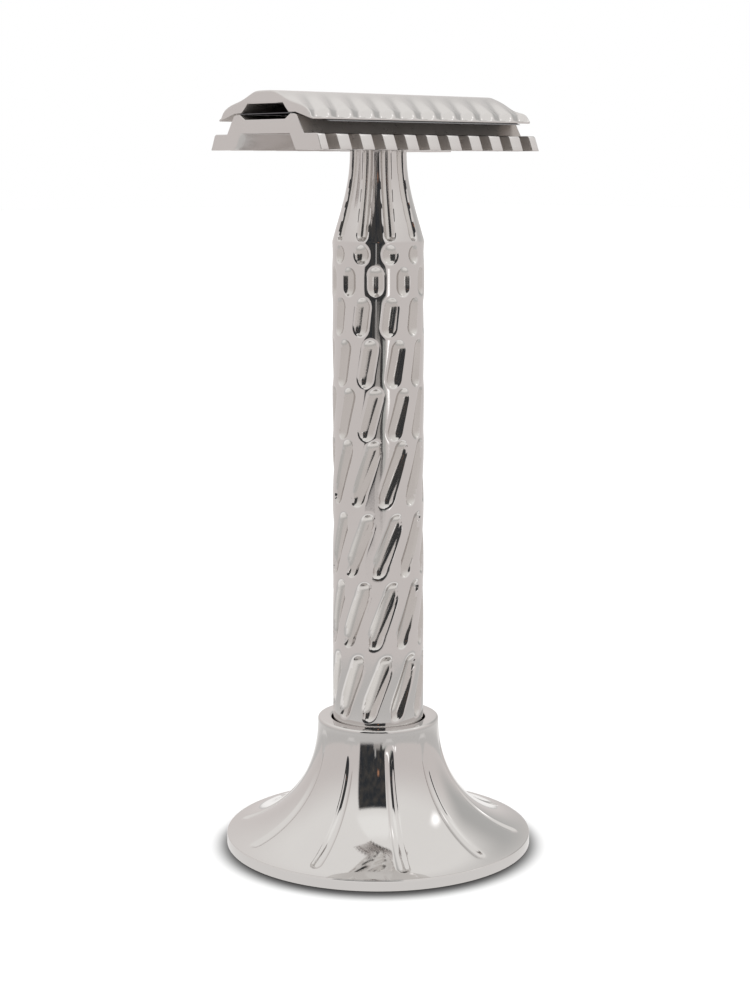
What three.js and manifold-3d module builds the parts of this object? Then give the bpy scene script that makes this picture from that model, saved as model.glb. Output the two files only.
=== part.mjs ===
// A three-piece double-edge safety razor standing in a flared metal stand.
// Millimetres, +Z up. The origin is the centre of the stand's footprint on the surface that it stands on.
// The head runs along X: the blade's two edges face -Y and +Y.
import * as THREE from "three";
import { mergeVertices } from "three/addons/utils/BufferGeometryUtils.js";
import Module from "manifold-3d";

const wasm = await Module();
wasm.setup();

// ---- Driving dimensions -------------------------------------------------------------------------

const HEAD_LENGTH = 43; // the length of a standard double-edge blade
const PLATE_UNDERSIDE = 103.8; // height of the base plate's underside above the surface
const THREAD_PITCH = 0.8; // M5 x 0.8, the usual head thread
const FIT_GAP = 0.04; // between two pieces pressed or glued together, on the radius
const TOUCH_GAP = 0.03; // between two pieces that only rest on each other
const RUNNING_GAP = 0.15; // between pieces that slide in each other

// Cap. Heights are above the plate's underside; half widths are along Y.
const CAP = {
  ridgeHalf: 2.0,
  ridgeTop: 8.25,
  shoulderHalf: 9.0,
  shoulderTop: 5.75,
  lipHalf: 10.2,
  lipHeight: 4.1,
  seatHalf: 6.6, // half width of the flat that clamps the blade
  seatHeight: 5.12,
  channelHalf: 5.2,
  channelRoofHalf: 3.8,
  channelRoof: 6.4,
};
// The scallops run diagonally; the slant is how far they move along X for each millimetre along Y.
const SCALLOP = { pitch: 4.0, firstCrest: 3.1, depth: 0.45, inward: 0.35, slant: 0.5 };

// Blade.
const BLADE = {
  thickness: 0.1,
  tabHalf: 6.5,
  edgeLength: 37.6,
  halfWidth: 10.75,
  endInset: 0.25,
  grind: 0.35,
  slotHalf: 1.5,
  slotEnd: 15.8,
  slotEndRadius: 2.4,
  eyeRadius: 3.0,
};

// Base plate.
const PLATE = {
  guardHalf: 12.1,
  guardTopHalf: 11.2,
  guardTop: 2.25,
  wallFootHalf: 8.4,
  landOuter: 6.9,
  landInner: 5.5,
  landHeight: 4.95,
  grooveHalf: 4.4,
  grooveFloor: 4.25,
  recessHalf: 6.5,
  recessRoofHalf: 5.3,
  recessRoof: 2.3,
};
const COMB = { slots: 10, pitch: 4.24, slotWidth: 2.0 };

// Cap fittings.
const STUD = { radius: 2.45, rootRadius: 2.02, top: 7.5, threadTop: 3.0, bottom: -6.6 };
const PIN = { radius: 1.25, offset: 9.5, top: 7.4, bottom: 0.3 };

// Handle. Heights here are above the surface.
const HANDLE = {
  radius: 6.78,
  bottom: 9.1,
  neckBottom: PLATE_UNDERSIDE - 13.2,
  neckRadius: 4.2,
  boreRadius: 4.4,
  boreTop: 85,
  turn: 26.3, // degrees that the handle is screwed round by, against the head
};
const INSERT = { radius: 3.15, length: 9.4, threadMinor: 2.17, threadMajor: 2.6 };
const END_PLUG = { flangeRadius: 6.1, flange: 1.2, spigot: 5 };
const AROUND = 10; // flutes or pockets in every ring of the pattern
const FLUTE = { radius: 0.85, depth: 0.5 };
const POCKET = { width: 2.4, depth: 0.62 };

// The pocket rings from the top one down: the middle's height, the length, the slant and the place
// round the handle, counted from a neck flute (degrees).
const POCKET_RINGS = [
  { height: 88.85, length: 2.4, slant: 0, turn: 0 },
  { height: 84.9, length: 4.2, slant: 0, turn: 18 },
  { height: 79.8, length: 5.6, slant: 7, turn: 0 },
  { height: 73.0, length: 7.0, slant: 10, turn: 8 },
  { height: 65.6, length: 7.7, slant: 15, turn: 12 },
  { height: 56.9, length: 10.0, slant: 19.5, turn: 5 },
  { height: 46.2, length: 9.9, slant: 21.5, turn: -3 },
  { height: 35.8, length: 10.4, slant: 20.5, turn: -8 },
  { height: 24.9, length: 10.1, slant: 21, turn: -16 },
];

// Stand. Heights are above the surface.
const STAND = {
  baseRadius: 22.9,
  bottom: 0.2,
  rimTop: 1.8,
  ringRadius: 9.05,
  ringTop: 19.3,
  boreRadius: 7.0,
  socketFloor: 8,
  edge: 0.4,
  turn: 21.5,
};
const SOCKET_PAD = { thickness: 1.0 };
const WEIGHT = { radius: 15, top: 4.2, thickness: 2.6 };
const BASE_PAD = { radius: 20.5, thickness: 1.1 };
const GROOVE = { radius: 0.75, depth: 0.3 };

// ---- Colours ------------------------------------------------------------------------------------

const POLISHED = { color: 0xcfc9c6, roughness: 0.08, metalness: 1 };
const SATIN = { color: 0xb9b4b1, roughness: 0.3, metalness: 1 };
const BLADE_STEEL = { color: 0x7c7d80, roughness: 0.2, metalness: 1 };
const BRASS = { color: 0xb59a5b, roughness: 0.3, metalness: 1 };
const STEEL = { color: 0x8d8f92, roughness: 0.45, metalness: 1 };
const RUBBER = { color: 0x242424, roughness: 0.85, metalness: 0 };

// ---- Solids -------------------------------------------------------------------------------------

const TURN = 2 * Math.PI;

// Turns a shape's own axes so that its outline lies in the Y-Z plane and its depth runs along X.
const OUTLINE_IN_YZ = new THREE.Matrix4().makeBasis(
  new THREE.Vector3(0, 1, 0),
  new THREE.Vector3(0, 0, 1),
  new THREE.Vector3(1, 0, 0),
);

// A closed geometry as a solid that can be cut and joined.
function solid(geometry) {
  const bare = geometry.clone();
  bare.deleteAttribute("normal");
  bare.deleteAttribute("uv");
  const merged = mergeVertices(bare, 1e-4);
  const data = {
    numProp: 3,
    vertProperties: new Float32Array(merged.attributes.position.array),
    triVerts: new Uint32Array(merged.index.array),
  };
  return new wasm.Manifold(new wasm.Mesh(data));
}

function geometryOf(body) {
  const mesh = body.getMesh();
  const geometry = new THREE.BufferGeometry();
  geometry.setAttribute("position", new THREE.BufferAttribute(mesh.vertProperties, 3));
  geometry.setIndex(new THREE.BufferAttribute(mesh.triVerts, 1));
  const faceted = geometry.toNonIndexed();
  faceted.computeVertexNormals();
  return faceted;
}

function piece(name, body, look) {
  const mesh = new THREE.Mesh(geometryOf(body), new THREE.MeshStandardMaterial(look));
  mesh.name = name;
  return mesh;
}

// Points of a profile, [radius, height] each, turned round Z. It goes up the outside and closes.
function turned(points, segments) {
  const profile = points.map(([r, z]) => new THREE.Vector2(r, z));
  return solid(new THREE.LatheGeometry(profile, segments).rotateX(Math.PI / 2));
}

// A plain round bar round Z between two heights, with a bevel at each end.
function bar(radius, bottom, top, segments, bevel = 0) {
  const points = [
    [0, bottom],
    [radius - bevel, bottom],
    [radius, bottom + bevel],
    [radius, top - bevel],
    [radius - bevel, top],
    [0, top],
  ];
  return turned(bevel > 0 ? points : points.filter((p, i) => i !== 2 && i !== 3), segments);
}

// A closed outline in the Y-Z plane, swept along X between two ends.
function alongX(outline, from, to) {
  const geometry = new THREE.ExtrudeGeometry(outline, {
    depth: to - from,
    bevelEnabled: false,
    curveSegments: 4,
  });
  return solid(geometry.applyMatrix4(OUTLINE_IN_YZ).translate(from, 0, 0));
}

// A closed outline in the X-Y plane, raised between two heights.
function raised(outline, bottom, top) {
  const geometry = new THREE.ExtrudeGeometry(outline, {
    depth: top - bottom,
    bevelEnabled: false,
    curveSegments: 10,
  });
  return solid(geometry.translate(0, 0, bottom));
}

// An outline that is the same on both sides of Y = 0, from its right half, bottom to top.
function mirrored(rightHalf) {
  const left = rightHalf.map(([y, z]) => [-y, z]).reverse();
  return new THREE.Shape([...rightHalf, ...left].map(([y, z]) => new THREE.Vector2(y, z)));
}

// Copies of a cutter, spaced evenly round Z, as one solid.
function ringOf(cutter, count, turn = 0) {
  const step = 360 / count;
  const copies = Array.from({ length: count }, (_, i) => cutter.rotate([0, 0, turn + i * step]));
  return wasm.Manifold.union(copies);
}

// A round tool dragged along a line of [radius, height] points in the X-Z plane.
function groovePath(points, radius, sides = 6) {
  const path = new THREE.CatmullRomCurve3(points.map(([r, z]) => new THREE.Vector3(r, 0, z)));
  const section = new THREE.Shape();
  section.absarc(0, 0, radius, 0, TURN);
  const outline = new THREE.Shape(section.getPoints(sides / 2).slice(0, -1));
  const tube = new THREE.ExtrudeGeometry(outline, {
    steps: points.length,
    extrudePath: path,
    curveSegments: 1,
  });
  const ends = [points[0], points[points.length - 1]].map(([r, z]) =>
    solid(new THREE.SphereGeometry(radius, sides, 4).translate(r, 0, z)),
  );
  return wasm.Manifold.union([solid(tube), ...ends]);
}

// A right-hand V thread round Z as a solid screw: its radii at the crest and at the root.
function screw(crest, root, bottom, top, segments = 14) {
  const profile = [
    { r: root, rise: 0 },
    { r: root, rise: 0.15 },
    { r: crest, rise: 0.45 },
    { r: crest, rise: 0.7 },
  ];
  const bands = profile.length;
  const turns = Math.ceil((top - bottom) / THREAD_PITCH) + 3;
  const lastStep = turns * segments;
  const start = THREAD_PITCH * (Math.floor(bottom / THREAD_PITCH) - 1);
  const positions = [];
  for (let step = 0; step <= lastStep; step++) {
    const angle = (step / segments) * TURN;
    for (const { r, rise } of profile) {
      const z = start + THREAD_PITCH * (step / segments + rise);
      positions.push(r * Math.cos(angle), r * Math.sin(angle), z);
    }
  }
  // The band above the last corner joins the first corner of the next turn.
  const vertex = (step, band) => (band < bands ? step * bands + band : (step + segments) * bands);
  const index = [];
  for (let step = 0; step < lastStep; step++) {
    const bandsHere = step + 1 + segments > lastStep ? bands - 1 : bands;
    for (let band = 0; band < bandsHere; band++) {
      const a = vertex(step, band);
      const b = vertex(step + 1, band);
      const c = vertex(step + 1, band + 1);
      const d = vertex(step, band + 1);
      index.push(a, b, c, a, c, d);
    }
  }
  // Each end is closed by a fan to a point on the axis, beyond the part that is kept.
  const lowTip = positions.length / 3;
  const highTip = lowTip + 1;
  positions.push(0, 0, start - THREAD_PITCH, 0, 0, start + THREAD_PITCH * (turns + 3));
  const lowEdge = [];
  const highEdge = [];
  for (let i = 0; i <= segments; i++) {
    lowEdge.push(vertex(i, 0));
    highEdge.push(vertex(lastStep - segments + i, bands - 1));
  }
  for (let band = bands - 1; band > 0; band--) {
    lowEdge.push(vertex(0, band));
    highEdge.push(vertex(lastStep, band - 1));
  }
  lowEdge.forEach((v, i) => index.push(v, lowTip, lowEdge[(i + 1) % lowEdge.length]));
  highEdge.forEach((v, i) => index.push(v, highEdge[(i + 1) % highEdge.length], highTip));
  const geometry = new THREE.BufferGeometry();
  geometry.setAttribute("position", new THREE.Float32BufferAttribute(positions, 3));
  geometry.setIndex(index);
  return solid(geometry).intersect(bar(crest + 1, bottom, top, segments));
}

// A solid through equal outlines at stations along X: [{ x, outline: [[y, z], ...] }, ...].
function lofted(stations) {
  const count = stations[0].outline.length;
  const positions = stations.flatMap(({ x, outline }) => outline.flatMap(([y, z]) => [x, y, z]));
  const index = [];
  for (let s = 0; s + 1 < stations.length; s++) {
    for (let i = 0; i < count; i++) {
      const next = (i + 1) % count;
      const [a, b] = [s * count + i, s * count + next];
      const [c, d] = [b + count, a + count];
      index.push(a, b, c, a, c, d);
    }
  }
  const lastStart = (stations.length - 1) * count;
  const ends = [
    { outline: stations[0].outline, first: 0, flip: true },
    { outline: stations[stations.length - 1].outline, first: lastStart, flip: false },
  ];
  for (const { outline, first, flip } of ends) {
    const contour = outline.map(([y, z]) => new THREE.Vector2(y, z));
    for (const [i, j, k] of THREE.ShapeUtils.triangulateShape(contour, [])) {
      const face = flip ? [i, k, j] : [i, j, k];
      index.push(...face.map((v) => v + first));
    }
  }
  const geometry = new THREE.BufferGeometry();
  geometry.setAttribute("position", new THREE.Float32BufferAttribute(positions, 3));
  geometry.setIndex(index);
  return solid(geometry);
}

// ---- Head ---------------------------------------------------------------------------------------
// Everything in the head is made with the plate's underside at zero height.

// The right half of the cap's top in section, lip to ridge, as points with their share of a scallop.
function capTopHalf() {
  const shoulder = new THREE.QuadraticBezierCurve(
    new THREE.Vector2(CAP.lipHalf, CAP.lipHeight),
    new THREE.Vector2(CAP.lipHalf - 0.1, CAP.shoulderTop - 0.35),
    new THREE.Vector2(CAP.shoulderHalf, CAP.shoulderTop),
  );
  const shares = [0, 0.35, 0.8, 1];
  const round = shoulder.getPoints(3).map((p, i) => ({ y: p.x, z: p.y, share: shares[i] }));
  const slope = [0.3, 0.6, 0.85, 1].map((t) => ({
    y: THREE.MathUtils.lerp(CAP.shoulderHalf, CAP.ridgeHalf, t),
    z: THREE.MathUtils.lerp(CAP.shoulderTop, CAP.ridgeTop, t),
    share: Math.sqrt(1 - t),
  }));
  return [...round, ...slope];
}

function capSection(scallop) {
  const cut = scallop * SCALLOP.depth;
  const right = capTopHalf().map(({ y, z, share }) => [
    y - SCALLOP.inward * share * cut,
    z - share * cut,
  ]);
  const left = right.map(([y, z]) => [-y, z]).reverse();
  const underRight = [
    [CAP.channelRoofHalf, CAP.channelRoof],
    [CAP.channelHalf, CAP.seatHeight],
    [CAP.seatHalf, CAP.seatHeight],
  ];
  const underLeft = underRight.map(([y, z]) => [-y, z]).reverse();
  return [...right, ...left, ...underLeft, ...underRight];
}

// The scallops are pillows across the cap, with a narrow valley between each pair. They are lofted
// straight across, leant over together, and cut to the head's length.
function topCap() {
  const drift = 2 * CAP.lipHalf * SCALLOP.slant;
  const before = Math.ceil(drift / SCALLOP.pitch) + 1;
  const count = before + Math.ceil(HEAD_LENGTH / SCALLOP.pitch) + 1;
  const firstCrest = SCALLOP.firstCrest - HEAD_LENGTH / 2 - before * SCALLOP.pitch;
  const stations = [];
  for (let k = 0; k < count; k++) {
    for (const part of [0, 0.3, 0.5, 0.7]) {
      const scallop = Math.pow(2 * Math.min(part, 1 - part), 2.2);
      stations.push({ x: firstCrest + (k + part) * SCALLOP.pitch, outline: capSection(scallop) });
    }
  }
  const lean = (point) => {
    point[0] += SCALLOP.slant * (point[1] + CAP.lipHalf);
  };
  const ends = wasm.Manifold.cube([HEAD_LENGTH, 4 * CAP.lipHalf, 4 * CAP.lipHalf], true);
  const shell = lofted(stations).warp(lean).intersect(ends);
  const studHole = bar(STUD.radius + FIT_GAP, CAP.channelRoof - 1, STUD.top + 0.1, 24);
  const pinHole = bar(PIN.radius + FIT_GAP, CAP.channelRoof - 1, PIN.top + 0.1, 16);
  return shell
    .subtract(studHole)
    .subtract(pinHole.translate([-PIN.offset, 0, 0]))
    .subtract(pinHole.translate([PIN.offset, 0, 0]));
}

function capStud() {
  const shank = bar(STUD.radius, STUD.threadTop, STUD.top, 24);
  const thread = screw(STUD.radius, STUD.rootRadius, STUD.bottom, STUD.threadTop + 0.01);
  const point = bar(STUD.radius + 0.3, STUD.bottom, STUD.top + 1, 24, 0.9);
  return shank.add(thread).intersect(point);
}

function alignmentPin(side) {
  return bar(PIN.radius, PIN.bottom, PIN.top, 16, 0.3).translate([side * PIN.offset, 0, 0]);
}

// The blade in section: flat over the lands, bent down along the cap, ground to an edge.
function bladeSection() {
  const top = CAP.seatHeight - TOUCH_GAP;
  const drop = (CAP.seatHeight - CAP.lipHeight) / (CAP.lipHalf - CAP.seatHalf);
  const topAt = (y) => top - drop * Math.max(0, y - CAP.seatHalf);
  const ground = BLADE.halfWidth - BLADE.grind;
  const ys = [0, CAP.seatHalf - 0.3, CAP.seatHalf + 0.4, ground];
  const edge = topAt(BLADE.halfWidth) - BLADE.thickness / 2;
  const upper = ys.map((y) => [y, topAt(y)]);
  const lower = ys.map((y) => [y, topAt(y) - BLADE.thickness]);
  return mirrored([...lower.slice(1), [BLADE.halfWidth, edge - 0.01], [BLADE.halfWidth, edge + 0.01],
    ...upper.slice(1).reverse()]);
}

// The blade's outline from above: wide along its edges, with a narrower tab at each end.
function bladeOutline() {
  const [tabEnd, wideEnd] = [HEAD_LENGTH / 2 - BLADE.endInset, BLADE.edgeLength / 2];
  const [tab, wide, corner] = [BLADE.tabHalf, BLADE.halfWidth + 1, 0.8];
  const quarter = [
    [tabEnd, tab - corner],
    [tabEnd - corner, tab],
    [wideEnd + 0.6, tab],
    [wideEnd, tab + 0.8],
    [wideEnd, wide],
  ];
  const flipX = quarter.map(([x, y]) => [-x, y]).reverse();
  const top = [...quarter, ...flipX];
  const bottom = top.map(([x, y]) => [-x, -y]);
  return new THREE.Shape([...top, ...bottom].map(([x, y]) => new THREE.Vector2(x, y)));
}

function bladeSlot() {
  const [low, high] = [CAP.lipHeight - 1, CAP.seatHeight + 1];
  const slot = new THREE.BoxGeometry(2 * BLADE.slotEnd, 2 * BLADE.slotHalf, high - low);
  const end = bar(BLADE.slotEndRadius, low, high, 20);
  return solid(slot.translate(0, 0, (low + high) / 2))
    .add(bar(BLADE.eyeRadius, low, high, 24))
    .add(end.translate([-BLADE.slotEnd, 0, 0]))
    .add(end.translate([BLADE.slotEnd, 0, 0]));
}

function blade() {
  const sheet = alongX(bladeSection(), -HEAD_LENGTH / 2, HEAD_LENGTH / 2);
  return sheet.intersect(raised(bladeOutline(), 0, CAP.ridgeTop)).subtract(bladeSlot());
}

// A trapezoid platform for the blade on a flat guard, with a groove above and a recess below.
function basePlate() {
  const section = mirrored([
    [PLATE.recessRoofHalf, PLATE.recessRoof],
    [PLATE.recessHalf, 0],
    [PLATE.guardHalf, 0],
    [PLATE.guardTopHalf, PLATE.guardTop],
    [PLATE.wallFootHalf, PLATE.guardTop],
    [PLATE.landOuter + 0.25, PLATE.landHeight - 0.6],
    [PLATE.landOuter - 0.05, PLATE.landHeight - 0.15],
    [PLATE.landOuter - 0.6, PLATE.landHeight],
    [PLATE.landInner, PLATE.landHeight],
    [PLATE.grooveHalf, PLATE.grooveFloor],
  ]);
  const [low, high] = [-1, PLATE.landHeight + 1];
  const slotLength = PLATE.guardHalf - PLATE.wallFootHalf + 1;
  const slots = [];
  for (let i = 0; i < COMB.slots; i++) {
    const x = (i - (COMB.slots - 1) / 2) * COMB.pitch;
    for (const side of [-1, 1]) {
      const y = side * (PLATE.wallFootHalf + 0.2 + slotLength / 2);
      slots.push(solid(new THREE.BoxGeometry(COMB.slotWidth, slotLength, high - low).translate(x, y, 1)));
    }
  }
  const pinHole = bar(PIN.radius + RUNNING_GAP, low, high, 16);
  return alongX(section, -HEAD_LENGTH / 2, HEAD_LENGTH / 2)
    .subtract(wasm.Manifold.union(slots))
    .subtract(bar(STUD.radius + RUNNING_GAP, low, high, 24))
    .subtract(pinHole.translate([-PIN.offset, 0, 0]))
    .subtract(pinHole.translate([PIN.offset, 0, 0]));
}

// ---- Handle -------------------------------------------------------------------------------------

const HANDLE_TOP = PLATE_UNDERSIDE + PLATE.recessRoof - TOUCH_GAP;
const INSERT_BOTTOM = HANDLE_TOP - INSERT.length;

// The neck sweeps in from the grip's full radius with a corner at its foot.
const NECK = new THREE.CubicBezierCurve(
  new THREE.Vector2(HANDLE.radius, HANDLE.neckBottom),
  new THREE.Vector2(HANDLE.radius - 1, HANDLE.neckBottom + 4.2),
  new THREE.Vector2(HANDLE.neckRadius, PLATE_UNDERSIDE - 5.6),
  new THREE.Vector2(HANDLE.neckRadius, PLATE_UNDERSIDE),
);

const pairs = (points) => points.map((p) => [p.x, p.y]);

// A curve in a radial plane moved out along its normal, as [radius, height] points.
function offset(curve, distance, from, to, count) {
  return Array.from({ length: count }, (_, i) => {
    const t = THREE.MathUtils.lerp(from, to, i / (count - 1));
    const [p, d] = [curve.getPoint(t), curve.getTangent(t)];
    return [p.x + Math.abs(d.y) * distance, p.y + Math.abs(d.x) * distance];
  });
}

// A flat-floored pocket with round ends at the front of the handle, its top leaning to the right.
function pocketCutter({ height, length, slant, turn }) {
  const radius = POCKET.width / 2;
  const straight = Math.max(0.01, length / 2 - radius);
  const outline = new THREE.Shape();
  outline.absarc(0, straight, radius, 0, Math.PI);
  outline.absarc(0, -straight, radius, Math.PI, TURN);
  const cutter = new THREE.ExtrudeGeometry(outline, {
    depth: POCKET.depth + 1,
    bevelEnabled: false,
    curveSegments: 2,
  });
  cutter.rotateZ(-THREE.MathUtils.degToRad(slant)).applyMatrix4(OUTLINE_IN_YZ);
  return solid(cutter.translate(HANDLE.radius - POCKET.depth, 0, height)).rotate([0, 0, turn]);
}

function handleBody() {
  const bottom = HANDLE.bottom + END_PLUG.flange + TOUCH_GAP;
  const insertBore = INSERT.radius + FIT_GAP;
  const tube = turned(
    [
      [HANDLE.boreRadius, bottom],
      [HANDLE.radius - 0.3, bottom],
      [HANDLE.radius, bottom + 0.3],
      ...pairs(NECK.getPoints(6)),
      [HANDLE.neckRadius, HANDLE_TOP],
      [insertBore, HANDLE_TOP],
      [insertBore, INSERT_BOTTOM - TOUCH_GAP],
      [insertBore - 0.5, INSERT_BOTTOM - TOUCH_GAP],
      [insertBore - 0.5, HANDLE.boreTop + 2],
      [HANDLE.boreRadius, HANDLE.boreTop],
      [HANDLE.boreRadius, bottom],
    ],
    40,
  );
  const fluteLine = [
    ...offset(NECK, FLUTE.radius - FLUTE.depth, 0.06, 1, 5),
    [HANDLE.neckRadius + FLUTE.radius - FLUTE.depth, HANDLE_TOP + 1],
  ];
  const flutes = ringOf(groovePath(fluteLine, FLUTE.radius), AROUND);
  const pockets = POCKET_RINGS.map((ring) => ringOf(pocketCutter(ring), AROUND));
  return tube.subtract(flutes).subtract(wasm.Manifold.union(pockets));
}

function threadInsert() {
  const blank = bar(INSERT.radius, INSERT_BOTTOM, HANDLE_TOP, 32, 0.2);
  // The thread is cut in step with the stud's, which is made in the head's own frame.
  const [low, high] = [INSERT_BOTTOM - PLATE_UNDERSIDE - 1, HANDLE_TOP - PLATE_UNDERSIDE + 1];
  const thread = screw(INSERT.threadMajor, INSERT.threadMinor, low, high);
  return blank.subtract(thread.translate([0, 0, PLATE_UNDERSIDE]));
}

function handleEndPlug() {
  const [low, shoulder] = [HANDLE.bottom, HANDLE.bottom + END_PLUG.flange];
  const spigot = HANDLE.boreRadius - FIT_GAP;
  return turned(
    [
      [0, low],
      [END_PLUG.flangeRadius - 0.4, low],
      [END_PLUG.flangeRadius, low + 0.4],
      [END_PLUG.flangeRadius, shoulder],
      [spigot, shoulder],
      [spigot, shoulder + END_PLUG.spigot - 0.4],
      [spigot - 0.4, shoulder + END_PLUG.spigot],
      [0, shoulder + END_PLUG.spigot],
    ],
    40,
  );
}

// ---- Stand --------------------------------------------------------------------------------------

// The flare falls steeply from the ring and runs out at a gentle slope to the rim.
const FLARE = new THREE.CubicBezierCurve(
  new THREE.Vector2(STAND.baseRadius - 0.1, STAND.rimTop),
  new THREE.Vector2(STAND.baseRadius - 4.8, STAND.rimTop + 0.65),
  new THREE.Vector2(STAND.ringRadius, STAND.ringTop - 12.3),
  new THREE.Vector2(STAND.ringRadius, STAND.ringTop - STAND.edge),
);

function standBody() {
  const { baseRadius, bottom, rimTop, ringRadius, ringTop, boreRadius, socketFloor, edge } = STAND;
  const padRoof = BASE_PAD.thickness + TOUCH_GAP;
  const weightRoof = WEIGHT.top + TOUCH_GAP;
  const weightWall = WEIGHT.radius + RUNNING_GAP;
  const padWall = BASE_PAD.radius + RUNNING_GAP;
  const body = turned(
    [
      [0, weightRoof],
      [weightWall, weightRoof],
      [weightWall, padRoof],
      [padWall, padRoof],
      [padWall, bottom],
      [baseRadius - 0.2, bottom],
      [baseRadius, bottom + 0.2],
      [baseRadius, rimTop - 0.15],
      ...pairs(FLARE.getPoints(9)),
      [ringRadius - edge * 0.3, ringTop - edge * 0.3],
      [ringRadius - edge, ringTop],
      [boreRadius + edge, ringTop],
      [boreRadius + edge * 0.3, ringTop - edge * 0.3],
      [boreRadius, ringTop - edge],
      [boreRadius, socketFloor],
      [0, socketFloor],
    ],
    50,
  );
  const line = offset(FLARE, GROOVE.radius - GROOVE.depth, 0.17, 0.86, 6);
  return body.subtract(ringOf(groovePath(line, GROOVE.radius), AROUND));
}

function socketPad() {
  const low = STAND.socketFloor + TOUCH_GAP;
  return bar(STAND.boreRadius - FIT_GAP, low, STAND.socketFloor + SOCKET_PAD.thickness, 40);
}

function standWeight() {
  return bar(WEIGHT.radius, WEIGHT.top - WEIGHT.thickness, WEIGHT.top, 48, 0.3);
}

function basePad() {
  return bar(BASE_PAD.radius, 0, BASE_PAD.thickness, 60);
}

// ---- Assembly -----------------------------------------------------------------------------------

const stand = new THREE.Group();
stand.rotation.z = THREE.MathUtils.degToRad(STAND.turn);
stand.add(
  piece("stand_body", standBody(), POLISHED),
  piece("socket_pad", socketPad(), RUBBER),
  piece("stand_weight", standWeight(), STEEL),
  piece("base_pad", basePad(), RUBBER),
);

const handle = new THREE.Group();
handle.rotation.z = THREE.MathUtils.degToRad(HANDLE.turn);
handle.add(
  piece("handle_body", handleBody(), POLISHED),
  piece("handle_end_plug", handleEndPlug(), STEEL),
);

const head = new THREE.Group();
head.position.z = PLATE_UNDERSIDE;
head.add(
  piece("base_plate", basePlate(), SATIN),
  piece("blade", blade(), BLADE_STEEL),
  piece("top_cap", topCap(), POLISHED),
  piece("cap_stud", capStud(), BRASS),
  piece("alignment_pin_left", alignmentPin(-1), STEEL),
  piece("alignment_pin_right", alignmentPin(1), STEEL),
);

const razor = new THREE.Group();
razor.add(stand, handle, piece("thread_insert", threadInsert(), BRASS), head);

export default razor;
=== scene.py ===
import math

import bpy
import numpy as np
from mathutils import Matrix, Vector
from mathutils.geometry import tessellate_polygon


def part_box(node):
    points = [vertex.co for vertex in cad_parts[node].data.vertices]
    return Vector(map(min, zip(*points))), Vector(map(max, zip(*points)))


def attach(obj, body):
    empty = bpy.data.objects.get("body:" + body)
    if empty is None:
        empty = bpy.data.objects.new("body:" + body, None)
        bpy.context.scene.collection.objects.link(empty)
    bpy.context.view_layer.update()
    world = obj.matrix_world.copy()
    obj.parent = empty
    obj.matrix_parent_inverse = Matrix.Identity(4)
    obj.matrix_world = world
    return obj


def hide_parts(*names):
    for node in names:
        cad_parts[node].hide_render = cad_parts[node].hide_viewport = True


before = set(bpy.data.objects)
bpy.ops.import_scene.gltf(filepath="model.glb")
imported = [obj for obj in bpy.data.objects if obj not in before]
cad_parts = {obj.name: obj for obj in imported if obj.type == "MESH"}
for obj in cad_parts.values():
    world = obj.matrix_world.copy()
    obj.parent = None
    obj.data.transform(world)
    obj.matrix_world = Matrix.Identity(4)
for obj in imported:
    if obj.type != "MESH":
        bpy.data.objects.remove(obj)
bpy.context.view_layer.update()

# A three-piece safety razor in its flared stand. Everything here is worked out in millimetres, in the
# frame of the CAD model, and turned into metres when a mesh is made.
MM = 0.001
FULL_TURN = 2 * math.pi


def low(node):
    """A CAD node's lowest corner, in millimetres."""
    return np.array(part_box(node)[0]) / MM


def high(node):
    """A CAD node's highest corner, in millimetres."""
    return np.array(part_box(node)[1]) / MM


# ---- Driving dimensions, in millimetres -----------------------------------------------------------

PLATE_UNDERSIDE = low("base_plate")[2]
HEAD_HALF = high("base_plate")[0]

HANDLE_RADIUS = 6.78
HANDLE_BOTTOM = low("handle_body")[2]
HANDLE_TOP = high("handle_body")[2]
NECK_FOOT = PLATE_UNDERSIDE - 13.2
NECK_RADIUS = 4.2
HANDLE_TURN = 26.3
AROUND = 10
SECTOR = 360 / AROUND
HANDLE_BORE = 4.4
HANDLE_BORE_TOP = 85.0
INSERT_BORE = 3.19
INSERT_BOTTOM = low("thread_insert")[2]

# The handle's pockets and flutes are cut with a ball-nosed tool.
POCKET_HALF = 1.2
POCKET_DEPTH = 0.66
POCKET_RIM = 0.14
FLUTE_HALF = 0.8
FLUTE_DEPTH = 0.6
FLUTE_RIM = 0.1
END_EASE = 0.85  # how much gentler a cut's ends are than its sides
# Height of the middle, length, slant and place round the handle in degrees, from the top ring down.
POCKET_RINGS = [
    (88.85, 2.5, 0.0, 0.0),
    (84.9, 4.3, 0.0, 18.0),
    (79.8, 5.7, 7.0, 36.0),
    (73.0, 7.1, 10.0, 44.0),
    (65.6, 7.9, 15.0, 48.0),
    (56.9, 10.3, 19.5, 41.0),
    (46.2, 10.1, 21.5, 33.0),
    (35.8, 10.6, 20.5, 28.0),
    (24.9, 10.3, 21.0, 20.0),
]

STAND_TURN = 21.5
STAND_RADIUS = min(high("stand_body")[:2])
STAND_BOTTOM = low("stand_body")[2]
RIM_TOP = 1.8
RING_RADIUS = 9.05
RING_TOP = high("stand_body")[2]
RING_EDGE = 0.35
STAND_BORE = 7.0
SOCKET_FLOOR = low("socket_pad")[2] - 0.03
WEIGHT_RADIUS = 15.0
WEIGHT_TOP = high("stand_weight")[2]
PAD_RADIUS = 20.5
PAD_TOP = high("base_pad")[2]
GROOVE_FOOT = 1.9  # along the flare from its rim to the middle of the groove's round end
GROOVE_HEAD = 22.4
GROOVE_HALF_FOOT = 0.95
GROOVE_HALF_HEAD = 0.5
GROOVE_DEPTH = 0.32

SCALLOP_PITCH = 4.0
FIRST_CREST = 3.1  # at the front lip
SCALLOP_SLANT = 0.5  # how far the scallops move along X for each millimetre along Y
LIP_HALF = 10.2
SCALLOP_DEPTH = 0.52

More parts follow.
